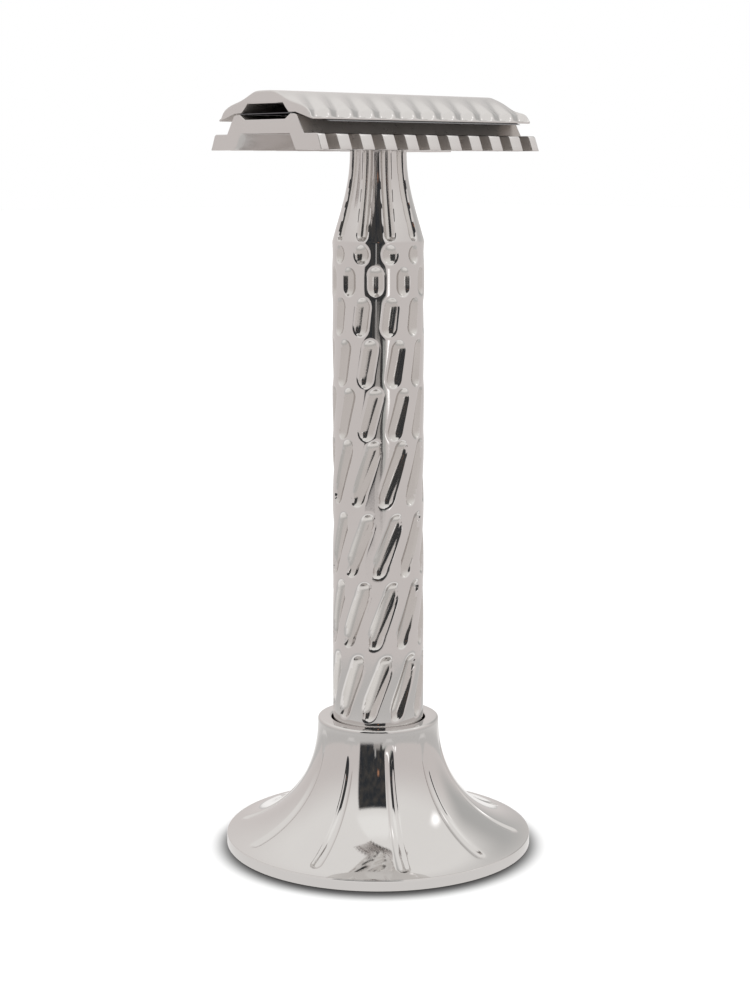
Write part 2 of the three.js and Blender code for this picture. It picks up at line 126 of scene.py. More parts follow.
COMB_SLOTS = 10
COMB_PITCH = 4.24
SLOT_HALF = 1.0
SLOT_END = 8.5
SLOT_CORNER = 0.3

STUD_RADIUS = 2.45
STUD_ROOT = 2.02
THREAD_PITCH = 0.8
PIN_RADIUS = 1.25
PIN_OFFSET = 9.5
RUNNING_GAP = 0.15  # round the stud and the pins in the plate, on the radius

# ---- Camera ---------------------------------------------------------------------------------------

camera_data = bpy.data.cameras.new("camera")
camera_data.lens = 71.56
camera_data.sensor_width = 36
camera_data.shift_y = -0.12
camera_data.clip_start = 0.01
camera_data.clip_end = 20
camera = bpy.data.objects.new("camera", camera_data)
camera.location = (-0.19825, -0.21579, 0.10097)
CAMERA_HEADING = math.radians(-42.48)
camera.rotation_euler = (math.radians(90 - 6.02), 0, CAMERA_HEADING)
bpy.context.collection.objects.link(camera)
bpy.context.scene.camera = camera

# ---- Mesh helpers ---------------------------------------------------------------------------------


def grid_faces(rows, columns, closed=False):
    """Quads between points laid out row by row, where each row is a closed ring of columns."""
    last = rows if closed else rows - 1
    row = np.arange(last)[:, None]
    column = np.arange(columns)[None, :]
    above = (row + 1) % rows
    beside = (column + 1) % columns
    corners = [
        row * columns + column,
        row * columns + beside,
        above * columns + beside,
        above * columns + column,
    ]
    return np.stack(np.broadcast_arrays(*corners), axis=-1).reshape(-1, 4)


def arc(middle_r, middle_z, radius, start, end, count):
    """Points of a circular arc in a profile, with its angles in degrees."""
    angles = np.radians(np.linspace(start, end, count))
    return [(middle_r + radius * math.cos(a), middle_z + radius * math.sin(a)) for a in angles]


def bezier(points, ts):
    """Points of a cubic Bezier curve."""
    p = np.array(points, dtype=float)
    t = np.asarray(ts)[:, None]
    return (1 - t) ** 3 * p[0] + 3 * (1 - t) ** 2 * t * p[1] + 3 * (1 - t) * t**2 * p[2] + t**3 * p[3]


def along(points):
    """The distance of each point from the first one, along the line that they make."""
    steps = np.hypot(*np.diff(np.asarray(points), axis=0).T)
    return np.concatenate([[0], np.cumsum(steps)])


def smooth(x, start, end):
    """Rises smoothly from 0 at start to 1 at end."""
    t = np.clip((x - start) / (end - start), 0, 1)
    return t * t * (3 - 2 * t)


def ball_cut(distance, half, depth, rim):
    """Depth of a ball-nosed cut at a distance from its middle line, with a softened rim."""
    ball = (half**2 + depth**2) / (2 * depth)
    floor = np.sqrt(np.maximum(ball**2 - distance**2, 0)) - (ball - depth)
    floor = np.where(distance < ball, floor, depth - ball - (distance - ball))
    return 0.5 * (floor + np.sqrt(floor**2 + rim**2))


def to_segment(across, lengthwise, start, end):
    """Distance from a straight line between two places lengthwise, in a flat development."""
    beyond = np.maximum(np.maximum(start - lengthwise, lengthwise - end), 0)
    return np.hypot(across, END_EASE * beyond)


def make_object(name, vertices, faces, material, sharp=35):
    """A mesh object from points in millimetres, with edges sharper than an angle kept sharp."""
    mesh = bpy.data.meshes.new(name)
    mesh.from_pydata((np.asarray(vertices) * MM).tolist(), [], [list(map(int, f)) for f in faces])
    mesh.validate()
    mesh.polygons.foreach_set("use_smooth", [True] * len(mesh.polygons))
    mesh.set_sharp_from_angle(angle=math.radians(sharp))
    mesh.materials.append(material)
    mesh.update()
    obj = bpy.data.objects.new(name, mesh)
    bpy.context.collection.objects.link(obj)
    return obj


def turned_mesh(rings, poles=(True, True), closed=False):
    """Vertices and faces of rings of points, closed at each end by a point on the axis."""
    rows, columns = rings.shape[:2]
    vertices = rings.reshape(-1, 3)
    faces = grid_faces(rows, columns, closed).tolist()
    if poles[0]:
        tip = len(vertices)
        vertices = np.vstack([vertices, [[0, 0, rings[0, 0, 2]]]])
        faces += [[tip, (i + 1) % columns, i] for i in range(columns)]
    if poles[1]:
        tip = len(vertices)
        vertices = np.vstack([vertices, [[0, 0, rings[-1, 0, 2]]]])
        base = (rows - 1) * columns
        faces += [[tip, base + i, base + (i + 1) % columns] for i in range(columns)]
    return vertices, faces


def rings_of(profile, angles):
    """Rings of points from a profile of (radius, height) and the places round Z in radians."""
    r, z = np.asarray(profile, dtype=float).T
    angles = np.broadcast_to(angles, (len(r), np.shape(angles)[-1]))
    return np.stack([
        r[:, None] * np.cos(angles),
        r[:, None] * np.sin(angles),
        np.broadcast_to(z[:, None], angles.shape),
    ], axis=-1)


def turned(name, profile, material, columns=96, middle=(0, 0)):
    """A piece turned round a vertical axis, from the axis below round to the axis above."""
    angles = np.linspace(0, FULL_TURN, columns, endpoint=False)
    vertices, faces = turned_mesh(rings_of(profile, angles))
    vertices = vertices + np.array([middle[0], middle[1], 0])
    return make_object(name, vertices, faces, material)


def finish_faces(obj, material, chosen):
    """Gives a second material to the faces that a rule picks by their middle and normal, in mm."""
    mesh = obj.data
    mesh.materials.append(material)
    for face in mesh.polygons:
        middle = np.array(face.center) / MM - np.array([0, 0, PLATE_UNDERSIDE])
        if chosen(middle, face.normal):
            face.material_index = len(mesh.materials) - 1


def carve(obj, cutter):
    """Cuts one object out of another, and removes the cutter."""
    modifier = obj.modifiers.new("cut", "BOOLEAN")
    modifier.operation = "DIFFERENCE"
    modifier.solver = "EXACT"
    modifier.object = cutter
    depsgraph = bpy.context.evaluated_depsgraph_get()
    mesh = bpy.data.meshes.new_from_object(obj.evaluated_get(depsgraph))
    obj.modifiers.clear()
    mesh.set_sharp_from_angle(angle=math.radians(30))
    obj.data = mesh
    bpy.data.objects.remove(cutter)


def settle(piece, body, slot, *nodes):
    """Says what a piece rides on and which CAD nodes it stands for; its finish argument is not used."""
    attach(piece, body)
    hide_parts(*nodes)


# ---- Materials ------------------------------------------------------------------------------------


class Nodes:
    """A short way to add and join a material's nodes."""

    def __init__(self, tree):
        self.tree = tree

    def add(self, kind, inputs=None, **settings):
        node = self.tree.nodes.new(kind)
        for key, value in settings.items():
            setattr(node, key, value)
        for key, value in (inputs or {}).items():
            self.put(node.inputs[key], value)
        return node

    def put(self, socket, value):
        if isinstance(value, bpy.types.NodeSocket):
            self.tree.links.new(value, socket)
        else:
            socket.default_value = value

    def math(self, operation, a, b=0.0, c=0.0):
        node = self.add("ShaderNodeMath", operation=operation)
        for socket, value in zip(node.inputs, (a, b, c)):
            self.put(socket, value)
        return node.outputs[0]

    def span(self, value, low_in, high_in, low_out, high_out, smooth_step=False):
        node = self.add("ShaderNodeMapRange", {
            "Value": value, "From Min": low_in, "From Max": high_in, "To Min": low_out, "To Max": high_out,
        })
        node.interpolation_type = "SMOOTHSTEP" if smooth_step else "LINEAR"
        return node.outputs[0]

    def blend(self, factor, a, b):
        node = self.add("ShaderNodeMix", data_type="RGBA")
        for name, value in (("Factor", factor), ("A", a), ("B", b)):
            kind = "VALUE" if name == "Factor" else "RGBA"
            socket = next(s for s in node.inputs if s.name == name and s.type == kind)
            self.put(socket, value)
        return next(s for s in node.outputs if s.type == "RGBA")

    def noise(self, vector, scale, detail=3.0):
        node = self.add("ShaderNodeTexNoise", {"Vector": vector, "Scale": scale, "Detail": detail})
        return node.outputs["Fac"]


def metal(name, light, dark, rough, grain, grain_size, grain_stretch, wave=0.0, wear=0.0):
    """A worked metal: drifting colour and roughness, a directional grain, a slight waviness."""
    material = bpy.data.materials.new(name)
    material.use_nodes = True
    nodes = Nodes(material.node_tree)
    shader = material.node_tree.nodes["Principled BSDF"]
    shader.inputs["Metallic"].default_value = 1.0
    place = nodes.add("ShaderNodeTexCoord").outputs["Object"]
    drift = nodes.noise(place, 160.0, 4.0)
    colour = nodes.blend(drift, (*dark, 1), (*light, 1))
    stretched = nodes.add("ShaderNodeMapping", {"Vector": place, "Scale": grain_stretch}).outputs[0]
    lines = nodes.noise(stretched, 1 / (grain_size * MM), 5.0)
    patches = nodes.noise(place, 900.0, 2.0)
    if wear:
        pointed = nodes.add("ShaderNodeNewGeometry").outputs["Pointiness"]
        edge = nodes.span(pointed, 0.52, 0.62, 0.0, wear)
        colour = nodes.blend(edge, colour, (0.86, 0.85, 0.84, 1))
    nodes.put(shader.inputs["Base Color"], colour)
    mixed = nodes.math("MULTIPLY_ADD", lines, 0.5, nodes.math("MULTIPLY", patches, 0.5))
    nodes.put(shader.inputs["Roughness"], nodes.span(mixed, 0.3, 0.7, rough[0], rough[1]))
    fine = nodes.add("ShaderNodeBump", {"Height": lines, "Strength": grain, "Distance": 0.00002})
    if wave:
        swell = nodes.noise(place, 240.0, 1.0)
        broad = nodes.add("ShaderNodeBump", {
            "Height": swell, "Strength": wave, "Distance": 0.0001, "Normal": fine.outputs[0],
        })
        nodes.put(shader.inputs["Normal"], broad.outputs[0])
    else:
        nodes.put(shader.inputs["Normal"], fine.outputs[0])
    return material


def milled_and_shaded(name, light, dark):
    """Metal left as it was milled, duller than the finished faces; its darker colour is painted shade on the
    faces that it is given in the slots and under the cap.
    """
    material = metal(name, light, dark, (0.24, 0.4), 0.3, 0.1, (1.0, 1.0, 1.0))
    material.node_tree.nodes["Principled BSDF"].inputs["Metallic"].default_value = 0.72
    return material


def rubber_material():
    """Black moulded rubber with a fine matt skin."""
    material = bpy.data.materials.new("rubber")
    material.use_nodes = True
    nodes = Nodes(material.node_tree)
    shader = material.node_tree.nodes["Principled BSDF"]
    place = nodes.add("ShaderNodeTexCoord").outputs["Object"]
    skin = nodes.noise(place, 2600.0, 4.0)
    dust = nodes.noise(place, 220.0, 5.0)
    tint = nodes.span(dust, 0.35, 0.75, 0.0, 1.0)
    colour = nodes.blend(tint, (0.022, 0.022, 0.024, 1), (0.05, 0.049, 0.048, 1))
    nodes.put(shader.inputs["Base Color"], colour)
    nodes.put(shader.inputs["Roughness"], nodes.span(skin, 0.3, 0.7, 0.6, 0.85))
    bump = nodes.add("ShaderNodeBump", {"Height": skin, "Strength": 0.3, "Distance": 0.0001})
    nodes.put(shader.inputs["Normal"], bump.outputs[0])
    return material


ROUND_GRAIN = (0.35, 0.35, 6.0)  # lines that run round a turned piece
LONG_GRAIN = (0.2, 5.0, 5.0)  # lines that run along the head

POLISHED = metal("polished_metal", (0.70, 0.682, 0.672), (0.665, 0.648, 0.638), (0.025, 0.065), 0.05, 0.12,
                 ROUND_GRAIN, wave=0.045)
SATIN = metal("satin_metal", (0.70, 0.68, 0.67), (0.665, 0.647, 0.637), (0.1, 0.17), 0.1, 0.09, LONG_GRAIN,
              wave=0.03)
POCKET = metal("pocket_metal", (0.68, 0.66, 0.64), (0.56, 0.54, 0.52), (0.08, 0.16), 0.25, 0.2,
               (1.0, 1.0, 1.0), wave=0.12)
MILLED_AND_SHADED = milled_and_shaded("milled_and_shaded_metal", (0.5, 0.46, 0.43), (0.38, 0.348, 0.325))
BLADE_STEEL = metal("blade_steel", (0.2, 0.205, 0.215), (0.15, 0.155, 0.165), (0.16, 0.28), 0.2, 0.08,
                    LONG_GRAIN)
BRASS = metal("brass", (0.78, 0.58, 0.27), (0.66, 0.47, 0.2), (0.18, 0.34), 0.25, 0.1, ROUND_GRAIN)
PLAIN_STEEL = metal("plain_steel", (0.56, 0.56, 0.57), (0.46, 0.46, 0.47), (0.3, 0.45), 0.4, 0.15,
                    ROUND_GRAIN)
RUBBER = rubber_material()

# ---- Stand ----------------------------------------------------------------------------------------


def flare_points(ts):
    """The flare's outline, from the rim up to the ring."""
    return bezier([
        (STAND_RADIUS - 0.1, RIM_TOP),
        (STAND_RADIUS - 4.8, RIM_TOP + 0.65),
        (RING_RADIUS, RING_TOP - 12.3),
        (RING_RADIUS, RING_TOP - RING_EDGE),
    ], ts)


def stand_angles():
    """Places round the stand, close together in the grooves."""
    inside = np.linspace(-5.2, 5.2, 36, endpoint=False)
    outside = np.linspace(5.2, SECTOR - 5.2, 14, endpoint=False)
    one = np.concatenate([inside, outside])
    return np.radians(np.concatenate([one + SECTOR * k for k in range(AROUND)]) + STAND_TURN)


def stand_body():
    """The stand's shell: rim, grooved flare, ring and socket, hollow underneath."""
    pad_roof = PAD_TOP + 0.03
    weight_roof = WEIGHT_TOP + 0.03
    flare = flare_points(np.linspace(0, 1, 110))
    before = [
        (WEIGHT_RADIUS * 0.5, weight_roof),
        (WEIGHT_RADIUS + 0.15, weight_roof),
        (WEIGHT_RADIUS + 0.15, pad_roof),
        (PAD_RADIUS + 0.15, pad_roof),
        (PAD_RADIUS + 0.15, STAND_BOTTOM),
        *arc(STAND_RADIUS - 0.08, STAND_BOTTOM + 0.08, 0.08, -90, 0, 4),
        *arc(STAND_RADIUS - 0.15, RIM_TOP - 0.17, 0.15, 0, 75, 5),
    ]
    after = [
        *arc(RING_RADIUS - RING_EDGE, RING_TOP - RING_EDGE, RING_EDGE, 10, 90, 7),
        *arc(STAND_BORE + RING_EDGE, RING_TOP - RING_EDGE, RING_EDGE, 90, 180, 7),
        (STAND_BORE, SOCKET_FLOOR + 6),
        (STAND_BORE, SOCKET_FLOOR),
        (STAND_BORE * 0.5, SOCKET_FLOOR),
    ]
    angles = stand_angles()
    rings = rings_of([*before, *flare, *after], angles)
    lengths = along(flare)
    slope = np.gradient(flare, lengths, axis=0)
    across = (np.degrees(angles - math.radians(STAND_TURN)) + SECTOR / 2) % SECTOR - SECTOR / 2
    sideways = np.radians(across)[None, :] * flare[:, 0][:, None]
    share = np.clip((lengths - GROOVE_FOOT) / (GROOVE_HEAD - GROOVE_FOOT), 0, 1)[:, None]
    half = GROOVE_HALF_FOOT + (GROOVE_HALF_HEAD - GROOVE_HALF_FOOT) * share
    distance = to_segment(sideways, lengths[:, None], GROOVE_FOOT + GROOVE_HALF_FOOT,
                          GROOVE_HEAD - GROOVE_HALF_HEAD)
    depth = GROOVE_DEPTH * (1 - 0.97 * smooth(lengths, GROOVE_HEAD - 6, GROOVE_HEAD))[:, None]
    cut = ball_cut(distance, half, depth, 0.06)
    cut *= 1 - smooth(distance, 1.5 * half, 1.9 * half)
    radius = flare[:, 0][:, None] - cut * slope[:, 1][:, None]
    height = flare[:, 1][:, None] + cut * slope[:, 0][:, None]
    first = len(before)
    here = slice(first, first + len(flare))
    rings[here, :, 0] = radius * np.cos(angles)
    rings[here, :, 1] = radius * np.sin(angles)
    rings[here, :, 2] = height
    vertices, faces = turned_mesh(rings)
    return make_object("stand_shell", vertices, faces, POLISHED)


settle(stand_body(), "stand", "polished_metal", "stand_body")

socket_pad = turned("socket_cushion", [
    (STAND_BORE - 1, low("socket_pad")[2]),
    *arc(STAND_BORE - 0.24, low("socket_pad")[2] + 0.2, 0.2, -90, 0, 4),
    *arc(STAND_BORE - 0.34, high("socket_pad")[2] - 0.3, 0.3, 0, 90, 5),
    (STAND_BORE - 1.4, high("socket_pad")[2]),
    (STAND_BORE - 1.6, high("socket_pad")[2] - 0.15),
    (1.0, high("socket_pad")[2] - 0.15),
], RUBBER)
settle(socket_pad, "stand", "rubber", "socket_pad")

weight_low = low("stand_weight")[2]
weight = turned("ballast_disc", [
    (2.0, weight_low + 0.4),
    (2.4, weight_low),
    *arc(WEIGHT_RADIUS - 0.3, weight_low + 0.3, 0.3, -90, 0, 4),
    *arc(WEIGHT_RADIUS - 0.3, WEIGHT_TOP - 0.3, 0.3, 0, 90, 4),
    (2.0, WEIGHT_TOP),
], PLAIN_STEEL)
settle(weight, "stand", "plain_steel", "stand_weight")


def base_pad():
    """The pad under the stand, with shallow gripping rings in its underside."""
    bottom = low("base_pad")[2]
    rings = [(1.0, bottom)]
    for radius in (6.0, 10.0, 14.0):
        rings += [(radius - 0.5, bottom), (radius - 0.3, bottom + 0.2), (radius + 0.3, bottom + 0.2),
                  (radius + 0.5, bottom)]
    rings += arc(PAD_RADIUS - 0.25, bottom + 0.25, 0.25, -90, 0, 5)
    rings += arc(PAD_RADIUS - 0.1, PAD_TOP - 0.1, 0.1, 0, 90, 3)
    rings.append((2.0, PAD_TOP))
    return turned("base_cushion", rings, RUBBER, columns=160)


settle(base_pad(), "stand", "rubber", "base_pad")

# ---- Handle ---------------------------------------------------------------------------------------


def pocket_turn(z):
    """Where the middle of a column of pockets is at a height, in degrees round the handle."""
    heights = []
    turns = []
    for middle, length, slant, turn in reversed(POCKET_RINGS):
        half = 0.32 * length
        lean = math.degrees(math.tan(math.radians(slant)) / HANDLE_RADIUS)
        heights += [middle - half, middle + half]
        turns += [turn - lean * half, turn + lean * half]
    spread = np.linspace(-0.6, 0.6, 13)
    return np.mean([np.interp(z + step, heights, turns) for step in spread], axis=0)


def handle_angles(z):
    """Places round the handle at each height, close together across the pockets."""
    inside = np.linspace(-13.0, 13.0, 20, endpoint=False)
    outside = np.linspace(13.0, SECTOR - 13.0, 6, endpoint=False)
    one = np.concatenate([inside, outside])
    around = np.concatenate([one + SECTOR * k for k in range(AROUND)])
    return around[None, :] + pocket_turn(z)[:, None]


def grip_heights():
    """Heights of the rows up the grip, close together at the pockets' ends."""
    z = np.linspace(HANDLE_BOTTOM + 0.3, NECK_FOOT - 0.35, 8000)
    density = np.full_like(z, 1 / 0.75)
    for middle, length, _, _ in POCKET_RINGS:
        for end in (middle - length / 2 + 0.55, middle + length / 2 - 0.55):
            density += (1 / 0.19) * np.exp(-(((z - end) / 0.95) ** 4))
    total = np.concatenate([[0], np.cumsum((density[1:] + density[:-1]) / 2 * np.diff(z))])
    return np.interp(np.linspace(0, total[-1], int(total[-1]) + 2), total, z)


def handle_body():
    """The grip with its rings of slanting pockets, and the fluted neck."""
    neck = bezier([
        (HANDLE_RADIUS, NECK_FOOT),
        (HANDLE_RADIUS - 1.0, NECK_FOOT + 4.2),
        (NECK_RADIUS, PLATE_UNDERSIDE - 5.6),
        (NECK_RADIUS, PLATE_UNDERSIDE),
    ], np.linspace(0.004, 1, 44) ** 1.15)
    grip = [(HANDLE_RADIUS, z) for z in grip_heights()]
    corner = [(HANDLE_RADIUS, NECK_FOOT - 0.2), (HANDLE_RADIUS - 0.004, NECK_FOOT - 0.1)]
    foot = arc(HANDLE_RADIUS - 0.3, HANDLE_BOTTOM + 0.3, 0.3, -90, -8, 6)
    outside = np.array([*foot, *grip, *corner, *neck, (NECK_RADIUS, HANDLE_TOP)])
    inside = np.array([
        (INSERT_BORE, HANDLE_TOP),
        (INSERT_BORE, INSERT_BOTTOM - 0.03),
        (INSERT_BORE - 0.5, INSERT_BOTTOM - 0.03),
        (INSERT_BORE - 0.5, HANDLE_BORE_TOP + 2),
        (HANDLE_BORE, HANDLE_BORE_TOP),
        (HANDLE_BORE, HANDLE_BOTTOM),
    ])
    lengths = along(outside)
    around = handle_angles(outside[:, 1])
    slope = np.gradient(outside, lengths, axis=0)
    r = outside[:, 0][:, None]
    z = outside[:, 1][:, None]
    cut = np.zeros_like(around)
    for middle, length, slant, turn in POCKET_RINGS:
        lean = math.radians(slant)
        side = np.radians((around - turn + SECTOR / 2) % SECTOR - SECTOR / 2) * HANDLE_RADIUS
        rise = z - middle
        across = side * math.cos(lean) - rise * math.sin(lean)
        lengthwise = side * math.sin(lean) + rise * math.cos(lean)
        straight = max(length / 2 - POCKET_HALF / END_EASE, 0)
        distance = to_segment(across, lengthwise, -straight, straight)
        pocket = ball_cut(distance, POCKET_HALF, POCKET_DEPTH, POCKET_RIM)
        cut = np.maximum(cut, pocket * (1 - smooth(distance, 1.38, 1.7)))
    side = np.radians((around + SECTOR / 2) % SECTOR - SECTOR / 2) * r
    neck_start = np.interp(NECK_FOOT, outside[len(foot):, 1], lengths[len(foot):])
    distance = to_segment(side, lengths[:, None], neck_start + 1.15, 1000)
    flute = ball_cut(distance, FLUTE_HALF, FLUTE_DEPTH, FLUTE_RIM)
    cut = np.maximum(cut, flute * (1 - smooth(distance, 1.0, 1.3)))
    radius = r - cut * slope[:, 1][:, None]
    height = z + cut * slope[:, 0][:, None]
    places = np.radians(around + HANDLE_TURN)
    shell = np.stack([radius * np.cos(places), radius * np.sin(places), height + 0 * places], axis=-1)
    share = np.linspace(0, 1, len(inside))[:, None]
    inner_places = places[-1] * (1 - share) + places[0] * share
    rings = np.concatenate([shell, rings_of(inside, inner_places)])
    vertices, faces = turned_mesh(rings, poles=(False, False), closed=True)
    tube = make_object("handle_tube", vertices, faces, POLISHED, sharp=50)
    tube.data.materials.append(POCKET)
    corners = np.zeros(rings.shape[0] * rings.shape[1])
    corners[:cut.size] = cut.reshape(-1)
    tube.data.polygons.foreach_set("material_index", (corners[np.array(faces)].min(axis=1) > 0.1).astype(int))
    return tube


settle(handle_body(), "handle", "polished_metal", "handle_body")

plug_low = low("handle_end_plug")[2]
plug_high = high("handle_end_plug")[2]
plug_radius = high("handle_end_plug")[0]
end_plug = turned("end_plug", [
    (1.0, plug_low),
    *arc(plug_radius - 0.4, plug_low + 0.4, 0.4, -90, 0, 6),
    (plug_radius, plug_low + 1.2),
    (HANDLE_BORE - 0.04, plug_low + 1.2),
    (HANDLE_BORE - 0.04, plug_high - 0.4),
    (HANDLE_BORE - 0.44, plug_high),
    (1.0, plug_high),
], PLAIN_STEEL)
settle(end_plug, "handle", "plain_steel", "handle_end_plug")

# ---- Head -----------------------------------------------------------------------------------------


def rounded(corners, radii, steps=5):
    """An open line through corners given as (across, height), with each inner corner rounded."""
    points = [corners[0]]
    for before, corner, after, radius in zip(corners, corners[1:], corners[2:], radii):
        back = np.subtract(before, corner)
        ahead = np.subtract(after, corner)
        back = back / np.linalg.norm(back)
        ahead = ahead / np.linalg.norm(ahead)
        if radius == 0:
            points.append(corner)
            continue
        half = math.acos(np.clip(np.dot(back, ahead), -1, 1)) / 2
        reach = radius / math.tan(half)
        middle = np.add(corner, (back + ahead) / np.linalg.norm(back + ahead) * radius / math.sin(half))
        start = np.add(corner, back * reach) - middle
        end = np.add(corner, ahead * reach) - middle
        sweep = math.atan2(start[0] * end[1] - start[1] * end[0], np.dot(start, end))
        for t in np.linspace(0, sweep, steps):
            points.append((
                middle[0] + start[0] * math.cos(t) - start[1] * math.sin(t),
                middle[1] + start[0] * math.sin(t) + start[1] * math.cos(t),
            ))
    points.append(corners[-1])
    return np.array(points)


def filled(points, longest):
    """A line with points added so that no step is longer than a length."""
    result = [points[0]]
    for a, b in zip(points, points[1:]):
        count = max(1, math.ceil(np.linalg.norm(np.subtract(b, a)) / longest))
        result += [np.add(a, np.subtract(b, a) * (i + 1) / count) for i in range(count)]
    return np.array(result)


def inward(outline):
    """Unit normals that point into a closed outline, which runs anticlockwise."""
    ahead = np.roll(outline, -1, axis=0) - outline
    behind = outline - np.roll(outline, 1, axis=0)
    ahead /= np.linalg.norm(ahead, axis=1)[:, None]
    behind /= np.linalg.norm(behind, axis=1)[:, None]
    tangent = ahead + behind
    normal = np.stack([-tangent[:, 1], tangent[:, 0]], axis=1)
    normal /= np.linalg.norm(normal, axis=1)[:, None]
    return normal / np.maximum((normal * np.stack([-ahead[:, 1], ahead[:, 0]], axis=1)).sum(1), 0.5)[:, None]


def both_sides(right_half):
    """A closed outline that runs anticlockwise, from its right half, given from below to above."""
    left = right_half[::-1] * np.array([-1, 1])
    return np.vstack([right_half, left])


def lofted(name, stations, material, sharp=30):
    """A piece from outlines of (across, height) at places along X, flat at each end."""
    points = np.array([[(x, y, z) for y, z in outline] for x, outline in stations])
    rows, count = points.shape[:2]
    vertices = points.reshape(-1, 3) + np.array([0, 0, PLATE_UNDERSIDE])
    faces = grid_faces(rows, count).tolist()
    for first, turn in ((0, -1), ((rows - 1) * count, 1)):
        rim = [Vector(point) for point in vertices[first:first + count]]
        for corners in tessellate_polygon([rim]):
            a, b, c = (np.array(rim[i]) for i in corners)
            facing = np.cross(b - a, c - a)[0] * turn > 0
            faces.append([first + i for i in (corners if facing else corners[::-1])])
    return make_object(name, vertices, faces, material, sharp)


EDGE_STEPS = np.radians([0, 22, 45, 68, 90])


def base_plate():
    """The platform and the comb: a section along X whose guard is cut away at each slot."""
    corners = [
        (0, 2.3),
        (5.35, 2.3),
        (6.6, 0),
        (12.1, 0),
        (11.2, 2.25),
        (8.4, 2.25),
        (7.15, 4.35),
        (6.85, 4.8),
        (6.3, 4.95),
        (5.5, 4.95),
        (4.35, 4.25),
        (0, 4.25),
    ]
    radii = [0.15, 0.06, 0.08, 0.5, 0.12, 0.2, 0.1, 0.3, 0.08, 0.15]
    right = filled(rounded(corners, radii), 0.8)[1:-1]
    outline = both_sides(right)
    normals = inward(outline)
    guard = smooth(np.abs(outline[:, 0]), 8.4, 8.7)[:, None]
    edge = 0.11
    stations = []

    def drawn_in(depth, share):
        return outline + normals * depth * share

    everywhere = np.ones_like(guard)
    for a in EDGE_STEPS:
        inset = edge * (1 - math.cos(a))
        stations.append((-HEAD_HALF + inset, drawn_in(edge * (1 - math.sin(a)), everywhere)))
    first = -(COMB_SLOTS - 1) / 2 * COMB_PITCH
    for k in range(COMB_SLOTS):
        middle = first + k * COMB_PITCH
        for a in EDGE_STEPS[::-1]:
            x = middle - SLOT_HALF - edge * (1 - math.cos(a))
            stations.append((x, drawn_in(edge * (1 - math.sin(a)), guard)))
        for a in np.radians(np.linspace(-90, 90, 13)):
            limit = SLOT_END + SLOT_CORNER * (1 - math.cos(a))
            cut = drawn_in(0, guard)
            cut = np.stack([np.clip(cut[:, 0], -limit, limit), cut[:, 1]], axis=1)
            stations.append((middle + SLOT_HALF * math.sin(a), cut))
        for a in EDGE_STEPS:
            x = middle + SLOT_HALF + edge * (1 - math.cos(a))
            stations.append((x, drawn_in(edge * (1 - math.sin(a)), guard)))
    for a in EDGE_STEPS[::-1]:
        inset = edge * (1 - math.cos(a))
        stations.append((HEAD_HALF - inset, drawn_in(edge * (1 - math.sin(a)), everywhere)))
    plate = lofted("comb_plate", stations, SATIN)
    pin_hole = PIN_RADIUS + RUNNING_GAP
    holes = ((0, STUD_RADIUS + RUNNING_GAP), (-PIN_OFFSET, pin_hole), (PIN_OFFSET, pin_hole))
    for x, radius in holes:
        hole = turned("hole", [(radius * 0.5, PLATE_UNDERSIDE - 1), (radius, PLATE_UNDERSIDE - 1),
                               (radius, PLATE_UNDERSIDE + 8), (radius * 0.5, PLATE_UNDERSIDE + 8)],
                      SATIN, columns=48, middle=(x, 0))
        carve(plate, hole)

    # Faces deep in the slots, in the gap under the cap's lip and on the plate under the cap take the darker
    # milled metal, as painted shade.
    def gets_milled_shade(middle, normal):
        x, y, z = np.abs(middle)
        slot_wall = y > 8.4 and z > 0.1 and abs(normal[0]) > 0.75 and x < HEAD_HALF - 0.4
        slot_end = 8.3 < y < 9.1 and abs(normal[1]) > 0.8 and 0.1 < z < 2.3 and x < HEAD_HALF - 0.6
        side = 6.9 < y < 8.6 and 2.2 < z < 4.85 and abs(normal[1]) > 0.4 and x < HEAD_HALF - 0.15
        top = y < 6.6 and z > 4.1 and normal[2] > 0.4 and x < HEAD_HALF - 0.1
        return slot_wall or slot_end or side or top

    finish_faces(plate, MILLED_AND_SHADED, gets_milled_shade)
    return plate


settle(base_plate(), "plate", "satin_metal", "base_plate")


def cap_right():
    """The right half of the cap's outline, and how much of a scallop each point takes."""
    under = filled(rounded([(0, 6.4), (3.85, 6.4), (5.2, 5.12), (6.6, 5.12), (10.12, 4.1)],
                           [0.15, 0.1, 0.3]), 1.5)[1:]
    lip = [(LIP_HALF, 4.16), (LIP_HALF, 4.3)]
    shoulder = bezier([(LIP_HALF, 4.32), (10.02, 4.85), (9.68, 5.42), (8.95, 5.78)], np.linspace(0, 1, 18))
    slope = bezier([(8.95, 5.78), (7.4, 6.46), (5.0, 7.2), (2.6, 8.02)], np.linspace(0, 1, 22)[1:])
    ridge = bezier([(2.6, 8.02), (2.1, 8.2), (1.6, 8.25), (0.4, 8.25)], np.linspace(0, 1, 8)[1:])
    top = np.vstack([shoulder, slope, ridge])
    share = smooth(top[:, 0], 2.2, 8.6) * smooth(top[:, 1], 4.28, 4.7)
    outline = np.vstack([under, lip, top])
    shares = np.concatenate([np.zeros(len(under) + len(lip)), share])
    return outline, shares


def scallop(x, y):
    """0 on a crest and 1 in a valley of the cap's scallops, which run diagonally."""
    along = x + HEAD_HALF - FIRST_CREST - SCALLOP_SLANT * (y + LIP_HALF)
    away = np.abs((along / SCALLOP_PITCH + 0.5) % 1 - 0.5) * 2
    edged = 1.03 - np.sqrt((1 - away**1.9) ** 2 + 0.03**2 * 30 * away**8)
    return 0.2 * edged + 0.8 * np.sin(away * math.pi / 2) ** 2


